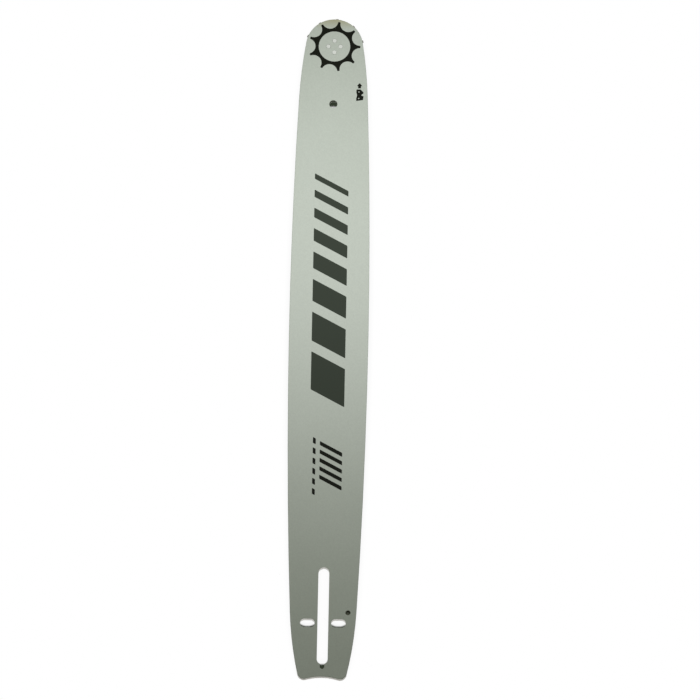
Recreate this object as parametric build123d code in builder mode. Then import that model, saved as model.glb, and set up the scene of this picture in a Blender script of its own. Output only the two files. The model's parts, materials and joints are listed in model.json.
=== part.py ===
from build123d import *
import os
from math import asin, cos, pi, sin, sqrt

# Chainsaw guide bar: two side plates on a smaller core plate, with a sprocket on rollers in the nose.
# It lies on its lower face, in millimetres, with +X towards the nose and +Z out of the upper face.
# The origin is the middle of the stud slot, on the lower face.

# Bar outline
overall_length = 520.0
bar_width = 60.0
nose_radius = 21.6
belly_share = 0.44  # place of the greatest width behind the sprocket axis, as a share of the length
shoulder_distance = 41.0  # sprocket axis to the end of the nose shoulder
front_fall_share = 0.48  # share of the rise from nose to belly that lies in the long front arc
rear_fall = 4.9  # belly to the start of the tail flank
flank_length = 53.5  # tail end to the start of the tail flank
flank_radius = 283.0
tail_corner_radius = 5.0
tail_hollow = 2.0

# Lamination
plate_thickness = 1.5
groove_width = 1.5
groove_depth = 7.0
rail_chamfer = 0.3
core_tail_setback = 3.0
lead_in_depth = 0.4  # how far each plate opens the groove at the tail

# Mounting end
slot_length = 76.0
slot_width = 8.2
slot_to_tail = 11.5
notch_width = 3.4
notch_reach = 3.5
adjuster_spacing = 23.4
adjuster_length = 11.2
adjuster_width = 6.6
adjuster_to_tail = 43.8
oil_hole_radius = 1.9
oil_hole_to_tail = 52.2
oil_hole_offset = 18.7
oil_notch_margin = 0.4  # room round the oil hole in the core

# Nose
nose_hole_radius = 3.1
nose_hole_distance = 45.7  # behind the sprocket axis
tooth_count = 10
tooth_height = 0.7  # tooth tips above the rail
tooth_depth = 6.0
tooth_land = 1.8
tooth_angle = -5.0  # one tooth, from the bar's axis
recess_clearance = 1.3  # tooth tips to the core
horn_radius = 0.6
side_play = 0.075  # sprocket and rollers to each side plate

# Nose bearing
roller_count = 16
roller_diameter = 3.4
roller_gap = 0.15  # between neighbours
roller_play = 0.05  # to each race

# Nose rivets
rivet_count = 4
rivet_circle_radius = 4.6
rivet_radius = 1.6
rivet_clearance = 0.03

# Places that follow from these sizes
bar_thickness = 2 * plate_thickness + groove_width
tail_x = -slot_length / 2 - slot_to_tail
nose_x = tail_x + overall_length - nose_radius
oil_hole_x = tail_x + oil_hole_to_tail
roller_circle_radius = (roller_diameter + roller_gap) / (2 * sin(pi / roller_count))
inner_race_radius = roller_circle_radius - roller_diameter / 2 - roller_play
outer_race_radius = roller_circle_radius + roller_diameter / 2 + roller_play
tooth_tip_radius = nose_radius + tooth_height

os.makedirs("parts", exist_ok=True)


def bar_outline(inset, tail_inset):
    """The bar's outline in tangent arcs, drawn in by one distance at the rails and another at the tail."""
    half_width = bar_width / 2
    nose = Vector(nose_x, 0)
    belly_distance = belly_share * overall_length
    belly = Vector(nose_x - belly_distance, half_width)

    # The long front arc falls from the belly to the shoulder
    front_run = belly_distance - shoulder_distance
    front_fall = front_fall_share * (half_width - nose_radius)
    front_radius = (front_run**2 + front_fall**2) / (2 * front_fall)
    shoulder = Vector(nose_x - shoulder_distance, half_width - front_fall)
    shoulder_inward = (belly - Vector(0, front_radius) - shoulder).normalized()

    # The shoulder arc is tangent to the long arc and to the round nose
    reach = shoulder - nose
    shoulder_radius = (nose_radius**2 - reach.dot(reach)) / (2 * (reach.dot(shoulder_inward) + nose_radius))
    shoulder_centre = shoulder + shoulder_inward * shoulder_radius
    nose_outward = (nose - shoulder_centre).normalized()

    # The rear arc runs on into the tighter tail flank
    rear_run = belly.X - tail_x - flank_length
    rear_radius = (rear_run**2 + rear_fall**2) / (2 * rear_fall)
    flank = belly - Vector(rear_run, rear_fall)
    flank_inward = (belly - Vector(0, rear_radius) - flank).normalized()
    flank_centre = flank + flank_inward * flank_radius

    # The corner is tangent to the flank and to the hollow tail end
    corner_x = tail_x + tail_inset + tail_corner_radius
    corner_reach = flank_radius - inset - tail_corner_radius
    corner_y = flank_centre.Y + sqrt(corner_reach**2 - (corner_x - flank_centre.X) ** 2)
    corner_centre = Vector(corner_x, corner_y)
    corner_outward = (corner_centre - flank_centre).normalized()
    hollow_bottom = Vector(tail_x + tail_inset + tail_hollow, 0)
    hollow_radius = (corner_y**2 + tail_hollow**2) / (2 * tail_hollow) - tail_corner_radius
    to_hollow = (hollow_bottom - Vector(hollow_radius, 0) - corner_centre).normalized()

    with BuildSketch() as outline:
        with BuildLine():
            top = belly - Vector(0, inset)
            front = TangentArc(top, shoulder + shoulder_inward * inset, tangent=(1, 0))
            round_start = nose + nose_outward * (nose_radius - inset)
            nose_shoulder = TangentArc(front @ 1, round_start, tangent=front % 1)
            TangentArc(nose_shoulder @ 1, nose + Vector(nose_radius - inset, 0), tangent=nose_shoulder % 1)
            rear = TangentArc(top, flank + flank_inward * inset, tangent=(-1, 0))
            flank_end = corner_centre + corner_outward * tail_corner_radius
            tail_flank = TangentArc(rear @ 1, flank_end, tangent=rear % 1)
            corner_end = corner_centre + to_hollow * tail_corner_radius
            corner = TangentArc(tail_flank @ 1, corner_end, tangent=tail_flank % 1)
            TangentArc(corner @ 1, hollow_bottom, tangent=corner % 1)
            mirror(about=Plane.XZ)
        make_face()
    return outline.sketch


rail_outline = bar_outline(0, 0)
core_outline = bar_outline(groove_depth, core_tail_setback)

# Openings that go through all three plates
with BuildSketch() as through_openings:
    SlotOverall(slot_length, slot_width)
    with Locations((-slot_length / 2, 0)):
        SlotOverall(2 * notch_reach, notch_width)
    with Locations((tail_x + adjuster_to_tail, 0)):
        with GridLocations(0, adjuster_spacing, 1, 2):
            SlotOverall(adjuster_length, adjuster_width, rotation=90)
    with Locations((nose_x - nose_hole_distance, 0)):
        Circle(nose_hole_radius)

# Rivet holes, through the side plates and the bearing between them
with BuildSketch() as rivet_holes:
    with Locations((nose_x, 0)):
        with PolarLocations(rivet_circle_radius, rivet_count):
            Circle(rivet_radius + rivet_clearance)


def side_plate(inner_face, label):
    """One painted side plate, built outwards from its inner face."""
    with BuildPart() as plate:
        with BuildSketch(inner_face):
            add(rail_outline)
            add(through_openings.sketch, mode=Mode.SUBTRACT)
            add(rivet_holes.sketch, mode=Mode.SUBTRACT)
            with Locations((oil_hole_x, -oil_hole_offset)):
                Circle(oil_hole_radius, mode=Mode.SUBTRACT)
        extrude(amount=plate_thickness)
        outer_face = plate.faces().sort_by(Axis(inner_face.origin, inner_face.z_dir))[-1]
        chamfer(outer_face.outer_wire().edges(), rail_chamfer)
        # The inner face slopes away at the tail, where the chain enters the groove
        lengthwise = Plane(inner_face.origin, inner_face.x_dir, inner_face.x_dir.cross(inner_face.z_dir))
        with BuildSketch(lengthwise):
            with BuildLine():
                Polyline(
                    (tail_x, 0),
                    (tail_x + core_tail_setback, 0),
                    (tail_x, lead_in_depth),
                    close=True,
                )
            make_face()
        extrude(amount=bar_width, both=True, mode=Mode.SUBTRACT)
    plate.part.label = label
    export_step(plate.part, f"parts/{label}.step")


# The lower plate is the upper one turned over
side_plate(Plane.XY.offset(plate_thickness + groove_width), "side_plate_top")
side_plate(Plane((0, 0, plate_thickness), x_dir=(1, 0, 0), z_dir=(0, 0, -1)), "side_plate_bottom")

# The core leaves the chain groove open along both rails and ends round the sprocket
with BuildPart() as core_plate:
    with BuildSketch(Plane.XY.offset(plate_thickness)) as core_profile:
        add(core_outline)
        add(through_openings.sketch, mode=Mode.SUBTRACT)
        with Locations((oil_hole_x, 0)):
            with GridLocations(0, 2 * oil_hole_offset, 1, 2):
                Circle(oil_hole_radius + oil_notch_margin, mode=Mode.SUBTRACT)
        with Locations((nose_x, 0)):
            Circle(tooth_tip_radius + recess_clearance, mode=Mode.SUBTRACT)
        fillet(core_profile.vertices().group_by(Axis.X)[-1], horn_radius)
    extrude(amount=groove_width)
core_plate.part.label = "core_plate"
export_step(core_plate.part, "parts/core_plate.step")

# Each gullet is one arc, set by the tooth depth and the land that is left at the tips
half_land_angle = asin(tooth_land / 2 / tooth_tip_radius)
gullet_edge_x = tooth_tip_radius * cos(pi / tooth_count - half_land_angle)
gullet_floor_radius = tooth_tip_radius - tooth_depth
gullet_rise = gullet_edge_x - gullet_floor_radius
gullet_circle_radius = (tooth_tip_radius**2 - gullet_floor_radius**2) / (2 * gullet_rise)
gullet_radius = gullet_circle_radius - gullet_floor_radius
gullet_angle = tooth_angle + 180 / tooth_count

with BuildPart() as nose_sprocket:
    with BuildSketch(Plane.XY.offset(plate_thickness + side_play)):
        with Locations((nose_x, 0)):
            Circle(tooth_tip_radius)
            with PolarLocations(gullet_circle_radius, tooth_count, start_angle=gullet_angle):
                Circle(gullet_radius, mode=Mode.SUBTRACT)
            Circle(outer_race_radius, mode=Mode.SUBTRACT)
    extrude(amount=groove_width - 2 * side_play)
nose_sprocket.part.label = "nose_sprocket"
export_step(nose_sprocket.part, "parts/nose_sprocket.step")

# The inner ring is clamped between the side plates
with BuildPart() as bearing_inner_ring:
    with BuildSketch(Plane.XY.offset(plate_thickness)):
        with Locations((nose_x, 0)):
            Circle(inner_race_radius)
        add(rivet_holes.sketch, mode=Mode.SUBTRACT)
    extrude(amount=groove_width)
bearing_inner_ring.part.label = "bearing_inner_ring"
export_step(bearing_inner_ring.part, "parts/bearing_inner_ring.step")

# Loose rollers fill the ring between the two races
for number in range(roller_count):
    angle = 2 * pi * number / roller_count
    roller_x = nose_x + roller_circle_radius * cos(angle)
    roller_y = roller_circle_radius * sin(angle)
    with BuildPart() as bearing_roller:
        with BuildSketch(Plane.XY.offset(plate_thickness + side_play)):
            with Locations((roller_x, roller_y)):
                Circle(roller_diameter / 2)
        extrude(amount=groove_width - 2 * side_play)
    bearing_roller.part.label = f"bearing_roller_{number + 1:02d}"
    export_step(bearing_roller.part, f"parts/{bearing_roller.part.label}.step")

# Each rivet is peened until it fills its hole, flush with both side plates
with BuildPart() as nose_rivets:
    with BuildSketch():
        with Locations((nose_x, 0)):
            with PolarLocations(rivet_circle_radius, rivet_count):
                Circle(rivet_radius)
    extrude(amount=bar_thickness)
nose_rivets.part.label = "nose_rivets"
export_step(nose_rivets.part, "parts/nose_rivets.step")
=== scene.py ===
import json
import math

import bmesh
import bpy
from mathutils import Matrix, Quaternion, Vector


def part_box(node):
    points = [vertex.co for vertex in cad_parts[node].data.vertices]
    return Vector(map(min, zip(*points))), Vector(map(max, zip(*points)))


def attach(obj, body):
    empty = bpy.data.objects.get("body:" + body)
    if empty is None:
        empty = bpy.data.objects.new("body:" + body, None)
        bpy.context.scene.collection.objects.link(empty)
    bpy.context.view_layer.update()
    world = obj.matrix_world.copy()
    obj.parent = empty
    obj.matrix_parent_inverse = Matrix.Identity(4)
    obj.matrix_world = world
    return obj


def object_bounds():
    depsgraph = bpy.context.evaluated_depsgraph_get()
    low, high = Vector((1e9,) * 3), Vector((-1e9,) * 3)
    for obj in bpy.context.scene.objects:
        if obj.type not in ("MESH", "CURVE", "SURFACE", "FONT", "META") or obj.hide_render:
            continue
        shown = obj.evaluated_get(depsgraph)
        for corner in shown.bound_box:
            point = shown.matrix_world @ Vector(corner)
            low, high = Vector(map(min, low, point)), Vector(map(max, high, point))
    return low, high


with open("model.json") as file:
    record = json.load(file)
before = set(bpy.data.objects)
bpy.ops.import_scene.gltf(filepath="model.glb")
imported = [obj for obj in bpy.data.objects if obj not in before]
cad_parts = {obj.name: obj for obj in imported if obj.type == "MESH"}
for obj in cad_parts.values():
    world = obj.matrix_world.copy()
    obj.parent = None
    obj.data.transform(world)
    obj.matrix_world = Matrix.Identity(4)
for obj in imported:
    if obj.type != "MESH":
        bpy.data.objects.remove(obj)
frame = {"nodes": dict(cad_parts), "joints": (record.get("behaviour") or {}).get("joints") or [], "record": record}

cad_low, cad_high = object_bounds()

# Core plate
# The middle layer of the bar, punched from cold-rolled steel sheet to a smaller outline than the side plates.
# It is spot-welded between them, and its bare edge is the floor of the chain groove.
MM = 0.001
streak_length = 40 * MM
streak_width = 0.6 * MM


def linear(hex_colour):
    """An sRGB hex colour as linear RGBA."""
    channels = [int(hex_colour[i : i + 2], 16) / 255 for i in (0, 2, 4)]
    return [c / 12.92 if c <= 0.04045 else ((c + 0.055) / 1.055) ** 2.4 for c in channels] + [1.0]


def add(material, kind, inputs=None, **settings):
    """Adds a node with its settings, and gives each input a value or a link."""
    tree = material.node_tree
    made = tree.nodes.new("ShaderNode" + kind)
    for name, value in settings.items():
        setattr(made, name, value)
    for name, value in (inputs or {}).items():
        if isinstance(value, bpy.types.NodeSocket):
            tree.links.new(value, made.inputs[name])
        else:
            made.inputs[name].default_value = value
    return made


def blank_material(name):
    """A material with no nodes yet."""
    material = bpy.data.materials.new(name)
    material.use_nodes = True
    material.node_tree.nodes.clear()
    return material


def dress(node_name, material):
    """Puts a finish on a CAD node."""
    mesh = frame["nodes"][node_name].data
    mesh.materials.clear()
    mesh.materials.append(material)


def bare_steel(name, dark, light, mark_size, roughness, detail, fine_share=0.5):
    """Bare steel, whose tone and gloss change together over marks with a size along each of X, Y and Z."""
    steel = blank_material(name)
    place = add(steel, "TexCoord")
    sized = add(
        steel,
        "Mapping",
        {"Vector": place.outputs["Object"], "Scale": [1 / size for size in mark_size]},
    )
    marks = add(
        steel,
        "TexNoise",
        {"Vector": sized.outputs["Vector"], "Scale": 1.0, "Detail": detail, "Roughness": fine_share},
    )
    tone = add(
        steel,
        "MixRGB",
        {"Fac": marks.outputs["Fac"], "Color1": linear(dark), "Color2": linear(light)},
    )
    gloss = add(
        steel,
        "MapRange",
        {"Value": marks.outputs["Fac"], "To Min": roughness[0], "To Max": roughness[1]},
    )
    shader = add(
        steel,
        "BsdfPrincipled",
        {"Base Color": tone.outputs["Color"], "Metallic": 1.0, "Roughness": gloss.outputs["Result"]},
    )
    add(steel, "OutputMaterial", {"Surface": shader.outputs["BSDF"]})
    return steel


# Cold-rolled steel: bright grey, with faint rolling streaks along the sheet
core_steel = bare_steel(
    "cold_rolled_steel",
    dark="B9B7B1",
    light="CFCDC7",
    mark_size=(streak_length, streak_width, streak_width),
    roughness=(0.34, 0.52),
    detail=3.0,
)
dress("core_plate", core_steel)

# Nose bearing
# A ring of loose rollers round an inner ring that the rivets clamp between the side plates.
# Both are through-hardened bearing steel, ground to size.
roller_mark = 0.25 * MM

# Ground bearing steel: pale and glossy, broken up by very fine marks
bearing_steel = bare_steel(
    "ground_bearing_steel",
    dark="A9ABAC",
    light="C6C8C9",
    mark_size=(roller_mark, roller_mark, roller_mark),
    roughness=(0.14, 0.28),
    detail=2.0,
)
dress("bearing_inner_ring", bearing_steel)
for node_name in frame["nodes"]:
    if node_name.startswith("bearing_roller"):
        dress(node_name, bearing_steel)

# Nose sprocket
# A toothed steel disc that the chain drives round, punched from plate and hardened right through.
# It runs in the groove of the nose, where only the tips of its teeth show.
scale_patch = 5 * MM

# Hardened steel: dark brownish grey, with uneven patches that the heat leaves
sprocket_steel = bare_steel(
    "hardened_sprocket_steel",
    dark="4A4743",
    light="76726B",
    mark_size=(scale_patch, scale_patch, scale_patch),
    roughness=(0.34, 0.5),
    detail=4.0,
    fine_share=0.6,
)
dress("nose_sprocket", sprocket_steel)

# Side plates
# Two hardened steel stampings that carry the chain on their edges, spot-welded to the core.
# Their outer faces are sprayed with satin grey paint, and their cut edges are bare ground steel.
plate_low, plate_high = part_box("side_plate_top")
bar_top = plate_high.z
mid_height = bar_top / 2
half_groove = plate_low.z - mid_height
painted_edge = 0.35 * MM  # how far the paint wraps over a cut edge
paint_fade = 0.1 * MM
paint_roughness = (0.42, 0.5)
drift_size = 45 * MM  # drift of the spray across the face
flake_size = 0.8 * MM  # metal flakes, drawn coarser than the real 0.05 mm so that they show
flake_contrast = 0.035
peel_size = 1.6 * MM  # orange peel
peel_height = 0.01 * MM
peel_strength = 0.35
tip_tint_reach = 7.5 * MM
seam_width = 0.3 * MM  # paint that cracks and darkens round a rivet
rivet_radius = 1.6 * MM
rivet_low, rivet_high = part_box("nose_rivets")
rivet_middle = (rivet_low + rivet_high) / 2
rivet_circle = (rivet_high.x - rivet_low.x) / 2 - rivet_radius
grind_length = 12 * MM
grind_width = 0.2 * MM
ground_roughness = (0.3, 0.46)
oil_and_shade_fade = 0.1 * MM
edge_rounding = 0.15 * MM

# Satin spray paint: pale grey-green, an even soft sheen, with a faint grain of flakes and orange peel
painted_steel = blank_material("satin_grey_paint")
place = add(painted_steel, "TexCoord")
drift = add(
    painted_steel,
    "TexNoise",
    {"Vector": place.outputs["Object"], "Scale": 1 / drift_size, "Detail": 2.0},
)
coat_tone = add(
    painted_steel,
    "MixRGB",
    {"Fac": drift.outputs["Fac"], "Color1": linear("B7BFB5"), "Color2": linear("BFC7BE")},
)
flakes = add(painted_steel, "TexVoronoi", {"Vector": place.outputs["Object"], "Scale": 1 / flake_size})
flake_light = add(painted_steel, "SeparateColor", {"Color": flakes.outputs["Color"]})
flake_tone = add(
    painted_steel,
    "MapRange",
    {"Value": flake_light.outputs["Red"], "To Min": 1 - flake_contrast, "To Max": 1 + flake_contrast},
)
flaked_tone = add(
    painted_steel,
    "VectorMath",
    {0: coat_tone.outputs["Color"], "Scale": flake_tone.outputs["Result"]},
    operation="SCALE",
)

# At the very tip the paint is a little darker and yellower
spot = add(painted_steel, "SeparateXYZ", {"Vector": place.outputs["Object"]})
tip_share = add(
    painted_steel,
    "MapRange",
    {"Value": spot.outputs["X"], "From Min": plate_high.x - tip_tint_reach, "From Max": plate_high.x},
)
tip_tone = add(
    painted_steel,
    "MixRGB",
    {"Fac": tip_share.outputs["Result"], "Color1": flaked_tone.outputs["Vector"], "Color2": linear("A9A889")},
)

# A fine dark seam runs round each of the four rivets, two along the bar and two across it
from_nose = add(
    painted_steel,
    "VectorMath",
    {0: place.outputs["Object"], 1: rivet_middle},
    operation="SUBTRACT",
)
quarter = add(painted_steel, "VectorMath", {0: from_nose.outputs["Vector"]}, operation="ABSOLUTE")
flat = add(painted_steel, "VectorMath", {0: quarter.outputs["Vector"], 1: (1, 1, 0)}, operation="MULTIPLY")
to_along = add(
    painted_steel,
    "VectorMath",
    {0: flat.outputs["Vector"], 1: (rivet_circle, 0, 0)},
    operation="DISTANCE",
)
to_across = add(
    painted_steel,
    "VectorMath",
    {0: flat.outputs["Vector"], 1: (0, rivet_circle, 0)},
    operation="DISTANCE",
)
to_rivet = add(
    painted_steel,
    "Math",
    {0: to_along.outputs["Value"], 1: to_across.outputs["Value"]},
    operation="MINIMUM",
)
seam = add(
    painted_steel,
    "MapRange",
    {
        "Value": to_rivet.outputs["Value"],
        "From Min": rivet_radius,
        "From Max": rivet_radius + seam_width,
        "To Min": 1.0,
        "To Max": 0.0,
    },
)
face_tone = add(
    painted_steel,
    "MixRGB",
    {"Fac": seam.outputs["Result"], "Color1": tip_tone.outputs["Color"], "Color2": linear("565B50")},
)

# Ground steel on the cut edges: bright grey, with fine marks that run along the rail
ground = add(
    painted_steel,
    "Mapping",
    {"Vector": place.outputs["Object"], "Scale": (1 / grind_length, 1 / grind_length, 1 / grind_width)},
)
grinding = add(painted_steel, "TexNoise", {"Vector": ground.outputs["Vector"], "Scale": 1.0, "Detail": 2.0})
steel_tone = add(
    painted_steel,
    "MixRGB",
    {"Fac": grinding.outputs["Fac"], "Color1": linear("C6C4BF"), "Color2": linear("DAD8D2")},
)

# Paint within a short way of the outer faces, bare steel between, and on the inner faces a dark tone that is
# partly oil and partly painted shade in the groove and the oil hole
above_middle = add(painted_steel, "Math", {0: spot.outputs["Z"], 1: mid_height}, operation="SUBTRACT")
from_middle = add(painted_steel, "Math", {0: above_middle.outputs["Value"]}, operation="ABSOLUTE")
oil_and_shade = add(
    painted_steel,
    "MapRange",
    {
        "Value": from_middle.outputs["Value"],
        "From Min": half_groove,
        "From Max": half_groove + oil_and_shade_fade,
        "To Min": 1.0,
        "To Max": 0.0,
    },
)
bare_tone = add(
    painted_steel,
    "MixRGB",
    {"Fac": oil_and_shade.outputs["Result"], "Color1": steel_tone.outputs["Color"], "Color2": linear("484B40")},
)
bare = add(
    painted_steel,
    "MapRange",
    {
        "Value": from_middle.outputs["Value"],
        "From Min": mid_height - painted_edge - paint_fade,
        "From Max": mid_height - painted_edge,
        "To Min": 1.0,
        "To Max": 0.0,
    },
)
surface_tone = add(
    painted_steel,
    "MixRGB",
    {
        "Fac": bare.outputs["Result"],
        "Color1": face_tone.outputs["Color"],
        "Color2": bare_tone.outputs["Color"],
    },
)
paint_gloss = add(
    painted_steel,
    "MapRange",
    {"Value": drift.outputs["Fac"], "To Min": paint_roughness[0], "To Max": paint_roughness[1]},
)
steel_gloss = add(
    painted_steel,
    "MapRange",
    {"Value": grinding.outputs["Fac"], "To Min": ground_roughness[0], "To Max": ground_roughness[1]},
)
roughness = add(
    painted_steel,
    "MixRGB",
    {
        "Fac": bare.outputs["Result"],
        "Color1": paint_gloss.outputs["Result"],
        "Color2": steel_gloss.outputs["Result"],
    },
)
peel = add(
    painted_steel,
    "TexNoise",
    {"Vector": place.outputs["Object"], "Scale": 1 / peel_size, "Detail": 1.0},
)
rounded = add(painted_steel, "Bevel", {"Radius": edge_rounding}, samples=4)
relief = add(
    painted_steel,
    "Bump",
    {
        "Height": peel.outputs["Fac"],
        "Distance": peel_height,
        "Strength": peel_strength,
        "Normal": rounded.outputs["Normal"],
    },
)
shader = add(
    painted_steel,
    "BsdfPrincipled",
    {
        "Base Color": surface_tone.outputs["Color"],
        "Metallic": bare.outputs["Result"],
        "Roughness": roughness.outputs["Color"],
        "Normal": relief.outputs["Normal"],
    },
)
add(painted_steel, "OutputMaterial", {"Surface": shader.outputs["BSDF"]})
dress("side_plate_top", painted_steel)
dress("side_plate_bottom", painted_steel)

# Nose rivets
# Four soft steel pins through the nose, peened at both ends and ground flush with the side plates.
# They clamp the bearing's inner ring, and show as bright spots in a ring.
rivet_mark = 0.35 * MM

# Peened rivet steel: bright and a little uneven, with fine marks left by the grinding
rivet_steel = bare_steel(
    "peened_rivet_steel",
    dark="999C96",
    light="B2B5AF",
    mark_size=(rivet_mark, rivet_mark, rivet_mark),
    roughness=(0.35, 0.55),
    detail=3.0,
)
dress("nose_rivets", rivet_steel)

# Printed sprocket sign
# A ring with nine pointed teeth round the nose bearing, the common sign for a bar with a sprocket nose.
# It is screen-printed on the paint in near-black ink, as a film a few hundredths of a millimetre thick.
spin = next(joint for joint in frame["joints"] if joint["name"] == "sprocket_spin")
nose_axis = Vector(spin["pos_m"])
ink_height = 0.03 * MM
ink_sink = 0.01 * MM  # how far the film reaches into the paint
screen_size = 0.5 * MM  # the screen's weave, drawn coarser than the real 0.1 mm so that it shows
ink_roughness = (0.45, 0.6)
ink_specular = 0.06
sign_teeth = 9
disc_radius = 11.9 * MM
disc_segments = 120
valley_radius = 14.4 * MM
tip_radius = 19.7 * MM
tip_land = 1.9 * MM
tip_rounding = 0.6 * MM
corner_steps = 3  # edges round each rounded corner
arc_steps = 20  # points along each hollow between two teeth
sign_turn = math.radians(-90)  # one tooth points across the bar


def round_corners(shape, corners, rounding):
    """Rounds corners of a flat printed shape."""
    bmesh.ops.bevel(
        shape,
        geom=corners,
        affect="VERTICES",
        offset=rounding,
        segments=corner_steps,
        profile=0.5,
        material=-1,
    )


def lay_film(shape):
    """Gives a flat printed shape its thickness and lays it on the upper face."""
    grown = bmesh.ops.extrude_face_region(shape, geom=shape.faces[:])
    upper = [part for part in grown["geom"] if isinstance(part, bmesh.types.BMVert)]
    bmesh.ops.translate(shape, verts=upper, vec=(0, 0, ink_height + ink_sink))
    bmesh.ops.translate(shape, verts=shape.verts[:], vec=(0, 0, bar_top - ink_sink))
    bmesh.ops.recalc_face_normals(shape, faces=shape.faces[:])


def printed(name, shape, ink):
    """Makes a film of ink into an object with its ink, which rides on the bar."""
    mesh = bpy.data.meshes.new(name)
    shape.to_mesh(mesh)
    shape.free()
    mesh.materials.append(ink)
    film = bpy.data.objects.new(name, mesh)
    bpy.context.scene.collection.objects.link(film)
    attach(film, "bar")


def screen_ink(name, thick_colour, thin_colour):
    """Screen ink: a flat dull film, slightly darker and lighter from the mesh of the screen."""
    ink = blank_material(name)
    place = add(ink, "TexCoord")
    weave = add(ink, "TexNoise", {"Vector": place.outputs["Object"], "Scale": 1 / screen_size, "Detail": 2.0})
    tone = add(
        ink,
        "MixRGB",
        {"Fac": weave.outputs["Fac"], "Color1": linear(thick_colour), "Color2": linear(thin_colour)},
    )
    gloss = add(
        ink,
        "MapRange",
        {"Value": weave.outputs["Fac"], "To Min": ink_roughness[0], "To Max": ink_roughness[1]},
    )
    shader = add(
        ink,
        "BsdfPrincipled",
        {
            "Base Color": tone.outputs["Color"],
            "Roughness": gloss.outputs["Result"],
            "Specular IOR Level": ink_specular,
        },
    )
    add(ink, "OutputMaterial", {"Surface": shader.outputs["BSDF"]})
    return ink


# Each hollow is one arc, set by the valley and by the land that is left at the tips
pitch = math.tau / sign_teeth
land_angle = math.asin(tip_land / 2 / tip_radius)
edge_x = tip_radius * math.cos(pitch / 2 - land_angle)
edge_y = tip_radius * math.sin(pitch / 2 - land_angle)
hollow_distance = (tip_radius**2 - valley_radius**2) / (2 * (edge_x - valley_radius))
hollow_radius = hollow_distance - valley_radius
half_sweep = math.atan2(edge_y, hollow_distance - edge_x)

sign = bmesh.new()
bmesh.ops.create_circle(sign, segments=sign_teeth * arc_steps, radius=tip_radius)
tip_corners = []
for vert in sign.verts:
    turn = math.atan2(vert.co.y, vert.co.x) % math.tau
    hollow, step = divmod(round(turn / pitch * arc_steps), arc_steps)
    middle = (hollow + 0.5) * pitch
    sweep = middle + half_sweep * (1 - 2 * step / (arc_steps - 1))
    vert.co.x = hollow_distance * math.cos(middle) - hollow_radius * math.cos(sweep)
    vert.co.y = hollow_distance * math.sin(middle) - hollow_radius * math.sin(sweep)
    if step in (0, arc_steps - 1):
        tip_corners.append(vert)
round_corners(sign, tip_corners, tip_rounding)
bmesh.ops.create_circle(sign, segments=disc_segments, radius=disc_radius)
bmesh.ops.triangle_fill(sign, edges=sign.edges[:], use_beauty=True)
bmesh.ops.rotate(sign, verts=sign.verts[:], cent=(0, 0, 0), matrix=Matrix.Rotation(sign_turn, 3, "Z"))
bmesh.ops.translate(sign, verts=sign.verts[:], vec=(nose_axis.x, nose_axis.y, 0))
lay_film(sign)
black_ink = screen_ink("black_screen_ink", "0A0C06", "11140B")
printed("printed_sprocket_sign", sign, black_ink)

# Printed direction sign
# An arrow towards the nose and the outline of a cutter link, the common sign for the way that the chain runs.
# It is screen-printed beside the rail in the same near-black ink.
direction_place = Vector((410.5 * MM, -20.1 * MM, 0))
arrow_corners = [(9.8, 0.5), (7.4, -1.6), (7.4, -0.6), (5.6, -0.6), (5.6, 1.6), (7.4, 1.6), (7.4, 2.6)]
link_corners = [
    (4.7, 2.8),
    (4.7, -0.4),
    (2.6, -2.5),
    (1.5, -2.5),
    (0.6, -1.1),
    (-0.3, -1.1),
    (-0.6, -2.7),
    (-3.6, -2.3),
    (-4.0, -0.2),
    (-4.4, 2.9),
    (-2.4, 2.9),
    (0, 2.3),
    (2.4, 2.9),
]
arrow_rounding = 0.15 * MM
link_rounding = 0.4 * MM
link_hole_radius = 0.45 * MM
link_hole_segments = 16
link_holes = [(2.7 * MM, 0.9 * MM), (-2.4 * MM, 1.0 * MM)]


def outline(shape, corners, rounding):
    """A closed outline through corners in millimetres, each rounded a little."""
    verts = [shape.verts.new((x * MM, y * MM, 0)) for x, y in corners]
    for first, second in zip(verts, verts[1:] + verts[:1]):
        shape.edges.new((first, second))
    round_corners(shape, verts, rounding)


direction_sign = bmesh.new()
outline(direction_sign, arrow_corners, arrow_rounding)
outline(direction_sign, link_corners, link_rounding)
for hole in link_holes:
    bmesh.ops.create_circle(
        direction_sign,
        segments=link_hole_segments,
        radius=link_hole_radius,
        matrix=Matrix.Translation((*hole, 0)),
    )
bmesh.ops.triangle_fill(direction_sign, edges=direction_sign.edges[:], use_beauty=True)
bmesh.ops.translate(direction_sign, verts=direction_sign.verts[:], vec=direction_place)
lay_film(direction_sign)
printed("printed_direction_sign", direction_sign, black_ink)

# Printed stripes
# A row of slanted stripes along the middle of the bar, each thinner than the one before towards the nose.
# They are screen-printed on the paint in graphite grey ink.
stripe_count = 8
widest_stripe = 30 * MM
stripe_taper = 0.76  # width of a stripe as a share of the one before
stripe_widths = [widest_stripe * stripe_taper**step for step in range(stripe_count)]
stripe_slant = math.tan(math.radians(28))
stripe_reach = 25.6 * MM  # across the bar
stripe_gap = 8.5 * MM
stripe_rounding = 0.5 * MM
stripes_end = 170.8 * MM  # tail end of the row, at the middle of the bar


def slanted_row(end, offset, reach, widths, gap):
    """A row of slanted blocks towards the nose, from a place along the bar and across it."""
    row = bmesh.new()
    slanted = Matrix.Identity(4)
    slanted[0][1] = stripe_slant
    for width in widths:
        corners = bmesh.ops.create_grid(row, x_segments=1, y_segments=1, size=0.5)["verts"]
        sized = Matrix.Diagonal((width, reach, 1, 1))
        placed = Matrix.Translation((end + width / 2, offset, 0))
        bmesh.ops.transform(row, verts=corners, matrix=placed @ slanted @ sized)
        end += width + gap
    round_corners(row, row.verts[:], stripe_rounding)
    lay_film(row)
    return row


stripes = slanted_row(stripes_end, 0, stripe_reach, stripe_widths, stripe_gap)
graphite_ink = screen_ink("graphite_screen_ink", "353C33", "40473E")
printed("printed_stripes", stripes, graphite_ink)

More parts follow.
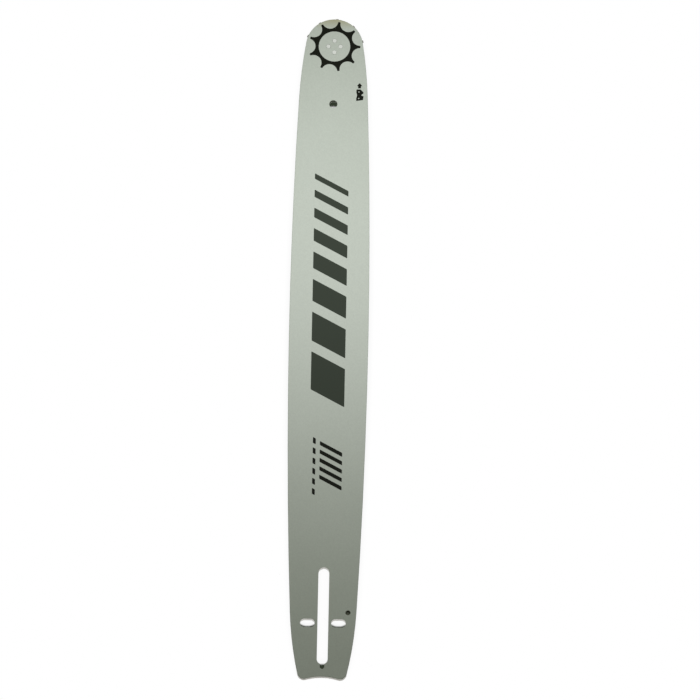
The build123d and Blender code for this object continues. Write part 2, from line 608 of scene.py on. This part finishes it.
# Printed marks
# Five short slanted bars and a row of dashes beside them, at the tail end of the stripes.
# They are screen-printed in the near-black ink of the signs.
mark_gap = 3.4 * MM
short_bar_count = 5
short_bar_width = 3.2 * MM
short_bar_reach = 17 * MM
short_bars_offset = -3.5 * MM
short_bars_end = 103 * MM
dash_count = 6
dash_width = 4.6 * MM
dash_reach = 2.2 * MM
dashes_offset = 9.2 * MM
dashes_end = 95 * MM
bar_widths = [short_bar_width] * short_bar_count
dash_widths = [dash_width] * dash_count
short_bars = slanted_row(short_bars_end, short_bars_offset, short_bar_reach, bar_widths, mark_gap)
printed("printed_bars", short_bars, black_ink)
dashes = slanted_row(dashes_end, dashes_offset, dash_reach, dash_widths, mark_gap)
printed("printed_dashes", dashes, black_ink)

# Studio
# A sheet of white paper that the bar lies on, one soft lamp above the nose half, and a white room.
# Paper and room look plain white to the eye, and the room lights the bar at a low, even level.
floor_gap = 0.05 * MM
floor_half = 12.0
white = linear("FFFFFF")
shade_reach = 6 * MM
shade_lean = math.tan(math.radians(60))  # how far the open sky leans over
darkest_sky = 0.41  # share of open sky over the paper where it is darkest
bright_sky = 0.5  # where it is nearly white
open_sky = 0.95  # where it is white
nearly_white = 0.93
light_gap = 4 * floor_gap  # light passes through to a face as near as this

floor_mesh = bmesh.new()
bmesh.ops.create_grid(floor_mesh, x_segments=1, y_segments=1, size=floor_half)
bmesh.ops.translate(floor_mesh, verts=floor_mesh.verts[:], vec=(0, 0, cad_low.z - floor_gap))
floor_data = bpy.data.meshes.new("floor")
floor_mesh.to_mesh(floor_data)
floor_mesh.free()
floor = bpy.data.objects.new("floor", floor_data)
bpy.context.scene.collection.objects.link(floor)


def seen_by_eye(material):
    """A socket that is 1 for what the eye sees, straight, in a reflection or through glass."""
    ray = add(material, "LightPath")
    direct = add(
        material,
        "Math",
        {0: ray.outputs["Is Camera Ray"], 1: ray.outputs["Is Glossy Ray"]},
        operation="MAXIMUM",
    )
    seen = add(
        material,
        "Math",
        {0: direct.outputs["Value"], 1: ray.outputs["Is Transmission Ray"]},
        operation="MAXIMUM",
    )
    return seen.outputs["Value"]


# White paper: plain white to the eye and in reflections, with painted shade where the bar shades it, clear from
# below
white_paper = blank_material("white_paper")

# The painted shade leans as if light reached the stud slot, at the origin, from past the tail, and the nose hole
# from past the nose
nose_hole = next(mount for mount in frame["record"]["mounts"] if mount["name"] == "nose_hole")
place = add(white_paper, "TexCoord")
spot = add(white_paper, "SeparateXYZ", {"Vector": place.outputs["Object"]})
lean = add(
    white_paper,
    "MapRange",
    {
        "Value": spot.outputs["X"],
        "From Min": 0.0,
        "From Max": nose_hole["pos_m"][0],
        "To Min": -shade_lean,
        "To Max": shade_lean,
    },
)
leaning = add(white_paper, "CombineXYZ", {"X": lean.outputs["Result"], "Z": 1.0})
sky = add(white_paper, "VectorMath", {0: leaning.outputs["Vector"]}, operation="NORMALIZE")
shade = add(
    white_paper,
    "AmbientOcclusion",
    {"Distance": shade_reach, "Normal": sky.outputs["Vector"]},
    samples=128,
)
deep_shade = add(
    white_paper,
    "MapRange",
    {
        "Value": shade.outputs["AO"],
        "From Min": darkest_sky,
        "From Max": bright_sky,
        "To Min": 0.0,
        "To Max": nearly_white,
    },
)
light_shade = add(
    white_paper,
    "MapRange",
    {
        "Value": shade.outputs["AO"],
        "From Min": bright_sky,
        "From Max": open_sky,
        "To Min": 0.0,
        "To Max": 1 - nearly_white,
    },
)
lightness = add(
    white_paper,
    "Math",
    {0: deep_shade.outputs["Result"], 1: light_shade.outputs["Result"]},
    operation="ADD",
)
# Painted shade: the paper turns dark olive where little open sky is over it
shaded_tone = add(
    white_paper,
    "MixRGB",
    {"Fac": lightness.outputs["Value"], "Color1": linear("333A2E"), "Color2": white},
)
shaded = add(white_paper, "Emission", {"Color": shaded_tone.outputs["Color"], "Strength": 1.0})

# The painted shade is worked out only in a strip round the bar, which saves time
bar_middle = (cad_low + cad_high) / 2
strip_half = (cad_high - cad_low) / 2 + Vector((2 * shade_reach, 2 * shade_reach, 0))
in_strip = add(
    white_paper,
    "Mapping",
    {
        "Vector": place.outputs["Object"],
        "Scale": (1 / strip_half.x, 1 / strip_half.y, 1),
        "Location": (-bar_middle.x / strip_half.x, -bar_middle.y / strip_half.y, 0),
    },
)
strip_share = add(white_paper, "VectorMath", {0: in_strip.outputs["Vector"]}, operation="ABSOLUTE")
shares = add(white_paper, "SeparateXYZ", {"Vector": strip_share.outputs["Vector"]})
furthest = add(white_paper, "Math", {0: shares.outputs["X"], 1: shares.outputs["Y"]}, operation="MAXIMUM")
near_bar = add(white_paper, "Math", {0: furthest.outputs["Value"], 1: 1.0}, operation="LESS_THAN")
plain = add(white_paper, "Emission", {"Color": white, "Strength": 1.0})
glow = add(
    white_paper,
    "MixShader",
    {0: near_bar.outputs["Value"], 1: plain.outputs["Emission"], 2: shaded.outputs["Emission"]},
)
matt = add(white_paper, "BsdfDiffuse", {"Color": linear("E8E8E6")})
paper = add(
    white_paper,
    "MixShader",
    {0: seen_by_eye(white_paper), 1: matt.outputs["BSDF"], 2: glow.outputs["Shader"]},
)

# Light also passes through to the face that lies on the paper, so that this face shows from below
side = add(white_paper, "NewGeometry")
ray = add(white_paper, "LightPath")
touching = add(white_paper, "Math", {0: ray.outputs["Ray Length"], 1: light_gap}, operation="LESS_THAN")
passes = add(
    white_paper,
    "Math",
    {0: side.outputs["Backfacing"], 1: touching.outputs["Value"]},
    operation="MAXIMUM",
)
clear = add(white_paper, "BsdfTransparent")
one_way = add(
    white_paper,
    "MixShader",
    {0: passes.outputs["Value"], 1: paper.outputs["Shader"], 2: clear.outputs["BSDF"]},
)
add(white_paper, "OutputMaterial", {"Surface": one_way.outputs["Shader"]})
floor_data.materials.append(white_paper)

# The lamp is a soft box just above the nose half
lamp_width = 0.25
lamp_power = 0.8
lamp_place = (0.345, 0.0, 0.3)
lamp_data = bpy.data.lights.new("soft_lamp", "AREA")
lamp_data.shape = "SQUARE"
lamp_data.size = lamp_width
lamp_data.energy = lamp_power
lamp = bpy.data.objects.new("soft_lamp", lamp_data)
lamp.location = lamp_place
lamp.visible_camera = False
bpy.context.scene.collection.objects.link(lamp)

# The room is white to the eye and in reflections, and gives a low, slightly warm light all round
room_light = 0.15
room = bpy.data.worlds.new("white_room")
room.use_nodes = True
room.node_tree.nodes.clear()
even_light = add(room, "Background", {"Color": linear("FDFFE3"), "Strength": room_light})
white_wall = add(room, "Background", {"Color": white, "Strength": 1.0})
walls = add(
    room,
    "MixShader",
    {0: seen_by_eye(room), 1: even_light.outputs["Background"], 2: white_wall.outputs["Background"]},
)
add(room, "OutputWorld", {"Surface": walls.outputs["Shader"]})
bpy.context.scene.world = room
bpy.context.scene.view_settings.view_transform = "Standard"

# The camera looks down on the bar from its tail end through a long lens
picture_width = 700
pixel_size = 0.7544 * MM  # across the bar
picture_lean = math.radians(1.14)
camera_elevation = math.radians(73.2)
camera_distance = 20.0
aim = Vector((209.2 * MM, -16.3 * MM, bar_top))
back = Vector((-math.cos(camera_elevation), 0, math.sin(camera_elevation)))
camera_data = bpy.data.cameras.new("camera")
camera_data.lens = camera_data.sensor_width * camera_distance / (picture_width * pixel_size)
camera = bpy.data.objects.new("camera", camera_data)
camera.location = aim + back * camera_distance
camera.rotation_mode = "QUATERNION"
camera.rotation_quaternion = (-back).to_track_quat("-Z", "Y") @ Quaternion((0, 0, 1), picture_lean)
bpy.context.scene.collection.objects.link(camera)
bpy.context.scene.camera = camera
